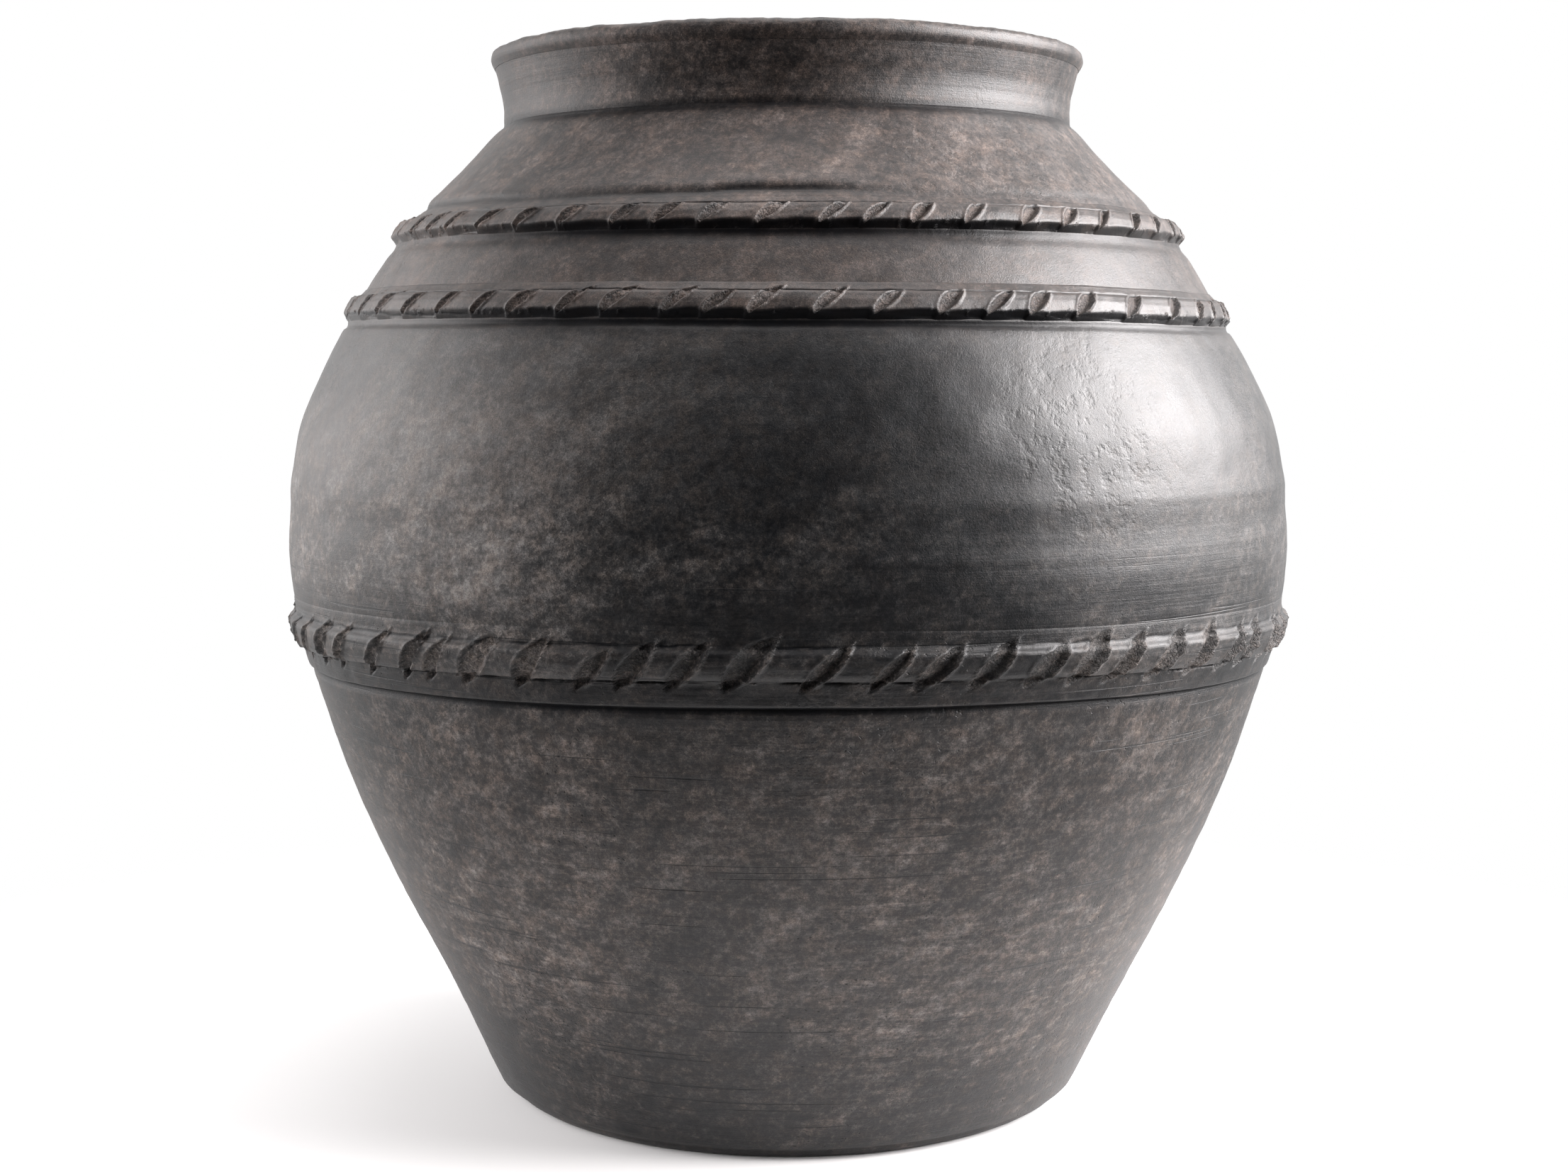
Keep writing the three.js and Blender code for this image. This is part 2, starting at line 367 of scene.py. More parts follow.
def plain_rows(points, columns=WALL_COLUMNS):
    """Rows with no relief at (radius, height) points."""
    shape = np.ones((1, columns))
    return tuple(np.array([p[axis] for p in points], float)[:, None] * shape for axis in (0, 1))


def between(last, first, rows):
    """Rows that run straight from the last row of one strip to the first row of the next."""
    t = (np.arange(1, rows + 1) / (rows + 1))[:, None]
    return tuple(last[axis][-1:] * (1 - t) + first[axis][:1] * t for axis in (0, 1))


def stack(*strips):
    return tuple(np.concatenate([s[axis] for s in strips]) for axis in (0, 1))


def ring_mesh(name, rows, poles=None, theta=None, painted_shading=None, raw=None):
    """A closed mesh from rows of (radius, height) round the axis. The rows close on themselves, or on
    two poles given as heights on the axis, the one before the first row and the one after the last.
    Each row's angles are even unless theta gives them. The painted shading darkens the clay with painted
    shade and, below 0, lightens it with painted light; raw clay is left torn and grainy from 0 to 1."""
    radius, height = rows
    count, columns = radius.shape
    theta = angles(columns)[None, :] if theta is None else theta
    if painted_shading is None:
        painted_shading = wall_painted_shading(theta, height) * (radius > wall_radius(height) - 4)
    raw = np.zeros(radius.shape) if raw is None else raw
    marks = {"painted_shading": painted_shading, "raw": raw}
    radius, height = bend(theta, radius, height)
    points = np.stack([radius * np.sin(theta), -radius * np.cos(theta), height], axis=-1).reshape(-1, 3)
    grid = np.arange(count * columns).reshape(count, columns)
    after = np.roll(grid, -1, axis=1)
    upper = np.roll(grid, -1, axis=0)
    upper_after = np.roll(after, -1, axis=0)
    quads = np.stack([grid, after, upper_after, upper], axis=-1)
    triangles = np.empty((0, 3), int)
    if poles:
        quads = quads[:-1]
        first, last = len(points), len(points) + 1
        points = np.concatenate([points, [[0, 0, poles[0]], [0, 0, poles[1]]]])
        start = np.stack([after[0], grid[0], np.full(columns, first)], axis=-1)
        end = np.stack([grid[-1], after[-1], np.full(columns, last)], axis=-1)
        triangles = np.concatenate([start, end])
    piece = mesh_object(name, points * MM, quads.reshape(-1, 4), triangles)
    for mark, value in marks.items():
        value = np.concatenate([np.clip(value, -1, 1).ravel(), np.zeros(2 if poles else 0)])
        piece.data.attributes.new(mark, "FLOAT", "POINT").data.foreach_set("value", value)
    return piece


def mesh_object(name, points, quads, triangles):
    mesh = bpy.data.meshes.new(name)
    mesh.vertices.add(len(points))
    mesh.vertices.foreach_set("co", np.ascontiguousarray(points, np.float32).ravel())
    corners = np.concatenate([quads.ravel(), triangles.ravel()])
    sizes = np.concatenate([np.full(len(quads), 4), np.full(len(triangles), 3)])
    mesh.loops.add(len(corners))
    mesh.loops.foreach_set("vertex_index", corners.astype(np.int32))
    mesh.polygons.add(len(sizes))
    mesh.polygons.foreach_set("loop_start", np.concatenate([[0], np.cumsum(sizes)[:-1]]).astype(np.int32))
    mesh.polygons.foreach_set("loop_total", sizes.astype(np.int32))
    mesh.update(calc_edges=True)
    mesh.validate()
    mesh.polygons.foreach_set("use_smooth", np.ones(len(sizes), bool))
    mesh.set_sharp_from_angle(angle=math.radians(62))
    piece = bpy.data.objects.new(name, mesh)
    bpy.context.scene.collection.objects.link(piece)
    return piece


# ---- Wall courses -------------------------------------------------------------------------------

def course(name, low, high, step, inner_step, fine=(), top_rise=JOINT_RISE):
    """A course of the wall: its outer and inner faces, closed by sloping joints that rise inwards."""
    outside = outer_rows(heights(low, high, step, fine))
    inner_low = low + JOINT_RISE + JOINT_GAP / 2
    inner_high = high + top_rise - JOINT_GAP / 2
    inside = inner_rows(heights(inner_low, inner_high, inner_step)[::-1])
    top = between(outside, inside, 3)
    bottom = between(inside, outside, 3)
    return ring_mesh(name, stack(outside, top, inside, bottom))


def seat_edges(band):
    """Rows stand closer where a course dips into a strip's seat."""
    low, high = (height_up_wall(band["low"], d) for d in band["seat"])
    return [(float(low), 2.0, 0.3), (float(high), 1.4, 0.3)]


def lower_wall():
    """The lowest course wraps the base slab, stands on the ground and runs out onto the slab inside."""
    edge = 6
    foot_radius = wall_radius(0)
    arc = [(foot_radius - edge + edge * math.sin(a), edge - edge * math.cos(a))
           for a in np.linspace(0, math.radians(72), 7)]
    columns = LOWER_WALL_COLUMNS
    under = plain_rows([(BASE_LOWER_RADIUS + JOINT_GAP, 0), (118, 0), (122, 0), *arc], columns)
    outer_heights = heights(edge, JOINT["band_lower"], 1.95, seat_edges(BANDS["band_lower"])[:1])
    outside = outer_rows(outer_heights, columns)
    theta = angles(columns)[None, :]
    chips = 0.5 * fractal(*around(theta, under[1], 131, 9, 1.5), 41, 2) * ramp(under[0], 123, 128)
    under = (under[0] + chips, np.maximum(under[1] + 0.4 * chips, 0))
    inner_heights = heights(40, JOINT["band_lower"] + JOINT_RISE - JOINT_GAP / 2, 7)[::-1]
    inside = inner_rows(inner_heights, columns)
    fillet = plain_rows([(135.4, 33), (132.5, 27), (128.5, 21), (124, 17),
                         (BASE_UPPER_RADIUS + JOINT_GAP, BASE_THICKNESS)], columns)
    rows = stack(under, outside, between(outside, inside, 2), inside, fillet, between(fillet, under, 2))
    return ring_mesh("lower_wall_clay", rows)


def base_disc():
    """The slab in the middle of the underside, with the potter's spiral on its upper face."""
    columns = WALL_COLUMNS
    theta = angles(columns)[None, :]
    out = np.linspace(3, BASE_LOWER_RADIUS, 40)[:, None]
    under_x = out * np.sin(theta)
    under_y = out * np.cos(theta)
    dip = 0.5 + 0.35 * fractal(under_x / 14, under_y / 14, 0.0, 51, 3)
    under = (out + 0 * theta, np.maximum(dip * ramp(BASE_LOWER_RADIUS - out, 1, 9), 0))
    inward = np.linspace(BASE_UPPER_RADIUS, 3, 48)[:, None]
    spiral = 0.7 * np.cos(TAU * inward / 13 + theta) * ramp(BASE_UPPER_RADIUS - inward, 2, 14)
    rough = 0.35 * fractal(inward * np.sin(theta) / 25, inward * np.cos(theta) / 25, 0.3, 52, 3)
    uneven = (spiral * ramp(inward, 5, 30) + rough) * ramp(BASE_UPPER_RADIUS - inward, 0, 6)
    top = (inward + 0 * theta, BASE_THICKNESS + uneven)
    rows = stack(under, between(under, top, 3), top)
    return ring_mesh("base_disc_clay", rows, poles=(0.5, BASE_THICKNESS + 0.3))


def lip():
    """A rounded rim: the neck thickens outward just below it, and its top is left a little rough."""
    theta = angles(WALL_COLUMNS)[None, :]
    half = LIP_WIDTH / 2
    middle = LIP_OUTER_RADIUS - half
    turn = np.radians(np.linspace(2, 186, 36))[:, None]
    square = 0.74
    across = np.sign(np.cos(turn)) * np.abs(np.cos(turn)) ** square
    above = np.sign(np.sin(turn)) * np.abs(np.sin(turn)) ** square
    radius = middle + half * across + 0 * theta
    height = LIP_TOP - 5.5 + 5.2 * above + 0 * theta
    lumps = 0.32 * fractal(radius * np.sin(theta) / 16, radius * np.cos(theta) / 16, height / 8, 61, 3)
    lumps = lumps + 0.16 * fractal(*around(theta, height, radius, 2.4, 1.6), 62, 2)
    lumps = lumps * ramp(turn, 0.1, 0.7)
    bead = (radius + lumps * np.cos(turn), height + lumps * np.sin(turn))

    rise = heights(JOINT["lip"], 465.2, 0.4)
    outside = outer_rows(rise)
    swell = ramp(rise, JOINT["lip"] - 1, 466.5)[:, None]
    outside = (outside[0] * (1 - swell) + LIP_OUTER_RADIUS * swell, outside[1])
    inside = inner_rows([465.5, JOINT["lip"] + JOINT_RISE / 2 + JOINT_GAP / 2])
    rows = stack(outside, bead, inside, between(inside, outside, 3))
    return ring_mesh("lip_clay", rows)


def neck():
    low, high = JOINT["neck"], JOINT["lip"]
    fine = [(NECK_CREASE + 0.2, 3, 0.4), (high, 4, 0.6)]
    return course("neck_clay", low, high, 0.9, 1.5, fine, top_rise=JOINT_RISE / 2)


# ---- Applied strips -----------------------------------------------------------------------------

def notch_places(band, circumference, random):
    """Where the notches' lower tips lie along the strip: the given gaps first, then the same gaps in a
    new order and a little changed until the ring closes."""
    gaps = list(band["gaps"])
    rest = circumference - sum(gaps)
    count = round(rest / np.mean(gaps))
    others = random.permutation(np.resize(gaps, count)) + random.uniform(-1.5, 1.5, count)
    gaps += list(others * rest / others.sum())
    return math.radians(band["first"]) * circumference / TAU + np.cumsum([0, *gaps[:-1]])


def from_place(along, place, circumference):
    """Distance along the strip from a place, taken the short way round."""
    return (along - place + circumference / 2) % circumference - circumference / 2


def strip_sag(band, theta, up, places, middle, seed):
    """How far the strip's lower edge hangs down: most between two notches, and a little unevenly."""
    along = theta * middle
    overhang = np.zeros_like(along)
    for place, gap in zip(places, np.diff([*places, places[0] + TAU * middle])):
        away = from_place(along, place, TAU * middle) / gap
        inside = (away >= 0) & (away < 1)
        overhang = np.where(inside, ramp(away, 0.0, 0.75) * (1 - ramp(away, 0.92, 1.0)), overhang)
    uneven = noise(np.sin(theta) * 16, np.cos(theta) * 16, 0.5, seed + 1)
    near_edge = ramp(up, -0.4, 1.2) * (1 - ramp(up, 3, 7))
    return (band["overhang"] * overhang + 0.45 * uneven - 0.3) * near_edge


def press_notches(band, along, up, places, circumference, random):
    """Depth of the notches and height of their burrs, each notch a little different from the others."""
    cut = np.zeros_like(along)
    burr = np.zeros_like(along)
    for place in places:
        away = from_place(along, place, circumference)
        near = np.abs(away).min(axis=0) < NOTCH_REACH
        cut_here, burr_here = notch(away[:, near], up + 0 * away[:, near], band["notch"], random)
        cut[:, near] = np.maximum(cut[:, near], cut_here)
        burr[:, near] = np.maximum(burr[:, near], burr_here)
    return cut, burr


def open_cracks(band, theta, up, along, whole, seed):
    """Depth of the cracks that run along the strip where its clay is whole, and the painted shade in them.
    """
    depth = shade_in_cracks = 0
    for place, width, deep in band["cracks"]:
        waver = 0.45 * noise(np.sin(theta) * 8, np.cos(theta) * 8, place, seed + 5)
        waver = waver + 0.35 * noise(np.sin(theta) * 40, np.cos(theta) * 40, place, seed + 6)
        strength = np.clip(0.8 + 0.5 * noise(along / 9, 0.3, place, seed + 7), 0, 1) * whole
        depth = depth + deep * bell(up - place - waver, width) * strength
        shade_in_cracks = np.maximum(shade_in_cracks, 0.9 * bell(up - place - waver, width * 1.3) * strength)
    return depth, shade_in_cracks


def pressed_strip(name, band, seed):
    """A strip's outer face, worked out as a height above the wall on a grid whose columns lean with
    the notches, and closed by a plain back that lies in the wall's seat."""
    random = np.random.default_rng(seed)
    section = np.array(band["section"], float)
    up = heights(section[0, 0], section[-1, 0], band["rows"], band["fine"])[:, None]
    middle = float(wall_radius(height_up_wall(band["low"], np.array(section[-1, 0] / 2))))
    circumference = TAU * middle
    lean = band["notch"]["run"][0] / band["notch"]["run"][1]
    theta = angles(band["columns"])[None, :] + lean * up / middle
    along = theta * middle
    places = notch_places(band, circumference, random)
    sag = strip_sag(band, theta, up, places, middle, seed)
    body = section_height(up - sag, section)
    cut, burr = press_notches(band, along, up, places, circumference, random)

    # The finished face: torn burrs, a floor under the notches, crumbs at the crest, cracks and ripples.
    grit = noise(along / 1.5, up / 1.5, 0.0, seed + 2) + 0.7 * noise(along / 0.9, up / 0.9, 0.0, seed + 3)
    torn = np.clip(0.75 + 0.6 * noise(along / 2.4, up / 2.4, 0.0, seed + 4), 0.1, 1.5)
    crumbs = np.clip(noise(along / 1.3, up / 1.3, 0.5, seed + 9) - 0.42, 0, 1)
    overhangs = band["overhang"] > 0
    crest = band["crest"]
    edge_zone = bell(up - sag - crest + 0.8, 1.3) if overhangs else bell(up - crest + 0.4, 1.4)
    face = body - cut + burr * torn * ramp(body, 0.0, 0.5)
    low, high = band["seat"]
    floor = 0.05 - 0.65 * ramp(up, low + 0.4, low + 1.4) * (1 - ramp(up, high - 1.4, high - 0.4))
    face = np.maximum(face, np.minimum(body, floor))
    face = face + 0.2 * grit * np.clip(cut, 0, 1.3) + 1.6 * crumbs * edge_zone
    cracks, crack_painted_shade = open_cracks(band, theta, up, along, np.clip(1 - cut, 0, 1), seed)
    face = face - cracks
    face = face + 0.07 * fractal(along / 45, up / 1.5, 0.0, seed + 8, 2) * ramp(body, 0.0, 0.4)
    face = face + 0.12 * fractal(along / 7, up / 5, 0.0, seed + 10, 2) * ramp(body, 0.3, 1.0)
    raw = np.clip(cut / 0.8, 0, 1) + 0.8 * np.clip(burr, 0, 1) + edge_zone * np.clip(crumbs * 4, 0, 1)

    # Painted shade lies on the underside, round the edges of the notches and in the cracks, not on the
    # burrs.
    painted_shading = (1 - ramp(up - sag, crest - 0.9, crest + 0.3)) * ramp(up, -1, 0)
    painted_shading = painted_shading * (0.95 * painted_shade_side(theta) if overhangs else 0.35)
    notch_rim_shade = np.clip(1 - np.abs(cut / 0.55 - 1), 0, 1)
    painted_shading = np.maximum(painted_shading, 0.6 * notch_rim_shade)
    painted_shading = np.maximum(painted_shading, 0.8 * wall_painted_shading(theta, height_up_wall(band["low"], up)))
    painted_shading = np.maximum(painted_shading, crack_painted_shade)
    painted_shading = np.maximum(painted_shading - 0.5 * np.clip(burr * torn, 0, 1), 0)

    front = off_wall(theta, height_up_wall(band["low"], up), face)
    back_up = np.linspace(high - 0.4, low + 0.4, 6)[:, None]
    back_theta = angles(band["columns"])[None, :] + lean * back_up / middle
    back_off = JOINT_GAP - SEAT_DEPTH + 0 * back_theta
    back = off_wall(back_theta, height_up_wall(band["low"], back_up), back_off)
    theta = np.concatenate([theta, back_theta])
    painted_shading = np.concatenate([painted_shading, 0 * back_theta])
    raw = np.concatenate([raw, 0 * back_theta])
    return ring_mesh(name + "_clay", stack(front, back), None, theta, painted_shading, raw)


def off_wall(theta, z, distance):
    """The (radius, height) of points that stand off the finished wall face."""
    off = outer_relief(theta, z) + distance
    normal = wall_normal(z)
    return wall_radius(z) + off * normal[0], z + off * normal[1]


def section_height(up, points):
    """Height of a strip's section, its corners rounded over about half a millimetre."""
    fine = np.arange(points[0, 0] - 5, points[-1, 0] + 5, 0.05)
    value = np.interp(fine, points[:, 0], points[:, 1])
    value = np.convolve(np.pad(value, 5, mode="edge"), np.ones(11) / 11, mode="valid")
    return np.interp(up, fine, value)


def notch(x, up, shape, random):
    """Depth of one notch and height of its burr. It is a leaf pointed at both ends: its floor slopes
    down from a bowed edge on the upper left to a steep, nearly straight side on the lower right, where
    the pressed clay stands up as a burr."""
    least = (0.88, 0.8, 0.82, -0.07, 0.8)
    most = (1.12, 1.25, 1.15, 0.07, 1.2)
    size, wide, deep, turn, bow = random.uniform(least, most)
    run = Vector(shape["run"])
    length = run.length * size
    run.rotate(Matrix.Rotation(turn, 2))
    run.normalize()
    x = x - shape["tip"][0]
    up = up - shape["tip"][1]
    a = (x * run.x + up * run.y) / length
    b = x * run.y - up * run.x
    t = np.clip(a, 0, 1)
    swell = np.sin(math.pi * t**0.92) ** 0.9
    left = -0.62 * shape["width"] * wide * swell * bow - 0.1
    right = 0.38 * shape["width"] * wide * swell + 0.1
    across = np.clip((b - left) / (right - left), 0, 1)
    floor = 0.5 * ramp(across, 0.0, 0.2) + 0.5 * ramp(across, 0.0, 0.85)
    scoop = floor * np.clip((1 - across) / 0.2, 0, 1)
    ends = ramp(a, 0.0, 0.1) * (1 - ramp(a, 0.8, 1.0))
    cut = shape["depth"] * deep * scoop * ends * (0.75 + 0.25 * swell)
    burr_right = bell(b - right - 0.35, 0.55) * ramp(a, 0.1, 0.35) * (1 - ramp(a, 0.98, 1.08))
    burr_left = bell(b - left + 0.4, 0.5) * ramp(a, -0.02, 0.08) * (1 - ramp(a, 0.7, 0.95))
    return cut, (shape["burr"] * burr_right + 0.45 * burr_left) * deep


# ---- Materials ----------------------------------------------------------------------------------

class Graph:
    """Short calls for building a material's nodes."""

    def __init__(self, name):
        self.material = bpy.data.materials.new(name)
        self.material.use_nodes = True
        self.tree = self.material.node_tree
        self.shader = self.tree.nodes["Principled BSDF"]
        self.place = self.tree.nodes.new("ShaderNodeTexCoord").outputs["Object"]

    def node(self, kind, inputs, **settings):
        node = self.tree.nodes.new(kind)
        for key, value in settings.items():
            setattr(node, key, value)
        for key, value in inputs.items():
            if isinstance(value, bpy.types.NodeSocket):
                self.tree.links.new(value, node.inputs[key])
            elif value is not None:
                node.inputs[key].default_value = value
        return node

    def stretched(self, scale, turn=(0, 0, 0)):
        inputs = {"Vector": self.place, "Scale": scale, "Rotation": turn}
        return self.node("ShaderNodeMapping", inputs).outputs["Vector"]

    def noise(self, scale, detail=3, roughness=0.55, distortion=0.0, vector=None):
        inputs = {"Vector": vector or self.place, "Scale": scale, "Detail": detail,
                  "Roughness": roughness, "Distortion": distortion}
        return self.node("ShaderNodeTexNoise", inputs).outputs["Fac"]

    def cells(self, scale, vector):
        return self.node("ShaderNodeTexVoronoi", {"Vector": vector, "Scale": scale})

    def map(self, value, low, high, to_low=0.0, to_high=1.0, smooth=False):
        inputs = {"Value": value, "From Min": low, "From Max": high, "To Min": to_low, "To Max": to_high}
        kind = "SMOOTHSTEP" if smooth else "LINEAR"
        return self.node("ShaderNodeMapRange", inputs, interpolation_type=kind).outputs["Result"]

    def math(self, operation, first, second=None):
        return self.node("ShaderNodeMath", {0: first, 1: second}, operation=operation).outputs[0]

    def colours(self, value, stops):
        node = self.node("ShaderNodeValToRGB", {"Fac": value})
        elements = node.color_ramp.elements
        while len(elements) < len(stops):
            elements.new(0.5)
        for element, (position, colour) in zip(elements, stops):
            element.position = position
            element.color = (*colour, 1)
        return node.outputs["Color"]

    def mix(self, factor, first, second, kind="MIX"):
        inputs = {0: factor, 6: first, 7: second}
        return self.node("ShaderNodeMix", inputs, data_type="RGBA", blend_type=kind).outputs[2]

    def bump(self, height, millimetres, normal=None):
        inputs = {"Height": height, "Distance": millimetres * MM, "Strength": 1.0, "Normal": normal}
        return self.node("ShaderNodeBump", inputs).outputs["Normal"]

    def finish(self, colour, roughness, normal):
        self.tree.links.new(colour, self.shader.inputs["Base Color"])
        self.tree.links.new(roughness, self.shader.inputs["Roughness"])
        self.tree.links.new(normal, self.shader.inputs["Normal"])
        return self.material


# Middle of the knocked patch at the right of the belly, in metres.
KNOCKED_PLACE = (0.118, -0.183, 0.303)


def helix(g):
    """Coordinates that draw noise out along a helix, as wiping marks run round the jar on a slant."""
    place = g.node("ShaderNodeSeparateXYZ", {"Vector": g.place}).outputs
    angle = g.math("ARCTAN2", place["Y"], place["X"])
    slant = g.math("ADD", angle, g.math("MULTIPLY", place["Z"], -5.0))
    return g.node("ShaderNodeCombineXYZ", {
        "X": g.math("MULTIPLY", g.math("COSINE", slant), 11.0),
        "Y": g.math("MULTIPLY", g.math("SINE", slant), 11.0),
        "Z": g.math("MULTIPLY", place["Z"], 32.0),
    }).outputs["Vector"]


def wiped_lines(g, height):
    """Fine level lines left by wiping, above and below 0, on the lower cone and the neck."""
    lines = g.noise(1, detail=4, roughness=0.7, vector=g.stretched((5, 5, 620)))
    lined = g.map(height, 0.27, 0.24, 0.1, 0.7, smooth=True)
    lined = g.math("ADD", lined, g.map(height, 0.43, 0.44, 0.0, 0.4, smooth=True))
    return g.math("MULTIPLY", g.math("SUBTRACT", lines, 0.5), lined)


def scuff_marks(g, height):
    """Light scuffs, drawn out along the turning and gathered in patches, mostly on the lower cone."""
    scuffs = g.noise(1, detail=8, roughness=0.8, distortion=0.4,
                     vector=g.stretched((42, 42, 260), (0.25, 0.12, 0)))
    scuffs = g.map(scuffs, 0.48, 0.66)
    scuffed = g.map(g.noise(7.5, detail=3), 0.46, 0.6, smooth=True)
    scuffed = g.math("MULTIPLY", scuffed, g.map(height, 0.225, 0.16, 0.3, 1.0, smooth=True))
    return g.math("MULTIPLY", scuffs, scuffed)


def scratch_marks(g, height):
    """Thin scratches that a stray grain left while the jar turned, mostly below the belly."""
    scratches = g.noise(1, detail=0, vector=g.stretched((11, 11, 760)))
    scratches = g.map(scratches, 0.74, 0.79, smooth=True)
    return g.math("MULTIPLY", scratches, g.map(height, 0.262, 0.24, 0.05, 1.0, smooth=True))


def pit_marks(g, height):
    """Small pits of strayed shape, a few in each patch, on the lower wall."""
    stray = g.math("MULTIPLY", g.noise(300, detail=3), 4 * MM)
    stray = g.node("ShaderNodeCombineXYZ", {"X": stray, "Z": g.math("MULTIPLY", stray, -1.0)})
    strayed = {0: g.place, 1: stray.outputs["Vector"]}
    strayed = g.node("ShaderNodeVectorMath", strayed, operation="ADD").outputs["Vector"]
    cells = g.cells(620, strayed)
    chosen = g.node("ShaderNodeSeparateColor", {"Color": cells.outputs["Color"]}).outputs[0]
    pits = g.map(cells.outputs["Distance"], 0.1, 0.36, 1.0, 0.0, smooth=True)
    pits = g.math("MULTIPLY", pits, g.map(chosen, 0.78, 0.84, smooth=True))
    patches = g.map(g.noise(15, detail=2), 0.48, 0.6, smooth=True)
    return g.math("MULTIPLY", pits, g.math("MULTIPLY", patches, g.map(height, 0.25, 0.20, 0.0, 1.0)))


def knock_marks(g):
    """Patches of small soft knocks, like the one at the right of the belly."""
    patch = g.node("ShaderNodeVectorMath", {0: g.place, 1: KNOCKED_PLACE}, operation="DISTANCE")
    patch = g.map(patch.outputs["Value"], 0.01, 0.065, 1.0, 0.0, smooth=True)
    patch = g.math("MAXIMUM", patch, g.map(g.noise(8, detail=2), 0.58, 0.68, smooth=True))
    knocks = g.map(g.noise(170, detail=3, roughness=0.6), 0.45, 0.75, smooth=True)
    return g.math("MULTIPLY", knocks, patch)


def clay_mottle(g, lines):
    """The cloudy patches, blotches, speckle and wiping marks of the clay, above and below 0."""
    mottle = g.math("MULTIPLY", lines, 0.1)
    clouds = g.noise(11, detail=3)
    blotches = g.noise(150, detail=9, roughness=0.72, distortion=0.35)
    flat_blotches = g.noise(1, detail=7, roughness=0.68, distortion=0.3, vector=g.stretched((48, 48, 170)))
    speckle = g.noise(380, detail=5, roughness=0.75)
    brushed = g.noise(1, detail=6, roughness=0.7, vector=helix(g))
    for value, low, high, weight in (
            (clouds, 0.34, 0.66, 0.15), (blotches, 0.37, 0.63, 0.2), (flat_blotches, 0.37, 0.63, 0.17),
            (speckle, 0.38, 0.62, 0.28), (brushed, 0.34, 0.66, 0.26)):
        value = g.math("SUBTRACT", g.map(value, low, high), 0.5)
        mottle = g.math("ADD", mottle, g.math("MULTIPLY", value, weight))
    return mottle


def clay_tone(g, height, painted_shading, scratches, torn_grain):
    """How light the clay is before it is mottled: near 0 is black, 0.5 its body and 1 pale. The painted
    shading darkens it with painted shade and, below 0, lightens it with painted light.
    """
    grain = g.math("SUBTRACT", g.noise(1300, detail=2, roughness=0.7), 0.5)
    dust = g.math("SUBTRACT", g.noise(2700, detail=1, roughness=0.6), 0.5)
    tone = g.map(height, 0.352, 0.41, -0.02, 0.04, smooth=True)
    tone = g.math("SUBTRACT", tone, g.map(height, 0.01, 0.08, 0.19, 0.0, smooth=True))
    for value, weight in ((painted_shading, -0.62), (scratches, -0.22), (scuff_marks(g, height), 0.3),
                          (torn_grain, 0.42), (grain, 0.4), (dust, 0.5)):
        tone = g.math("ADD", tone, g.math("MULTIPLY", value, weight))
    return g.math("ADD", tone, 0.515)


def clay_colour(g, height, tone):
    """From near black, as in the painted shade, to pale, a little browner in places and greyer below the
    shoulder.
    """
    colour = g.colours(tone, [
        (0.05, (0.0050, 0.0050, 0.0058)),
        (0.32, (0.0145, 0.0130, 0.0132)),
        (0.52, (0.034, 0.0285, 0.0268)),
        (0.74, (0.080, 0.0655, 0.0600)),
        (1.0, (0.17, 0.142, 0.130)),
    ])
    brown = g.map(g.noise(140, detail=5, roughness=0.7), 0.42, 0.6)
    colour = g.mix(brown, colour, (1.09, 0.985, 0.91, 1), "MULTIPLY")
    grey = g.map(height, 0.335, 0.36, 1.0, 0.0, smooth=True)
    colour = g.mix(grey, colour, (0.92, 1.0, 1.03, 1), "MULTIPLY")
    belly = g.math("MULTIPLY", grey, g.map(height, 0.20, 0.235, smooth=True))
    return g.mix(belly, colour, (0.95, 1.0, 1.03, 1), "MULTIPLY")


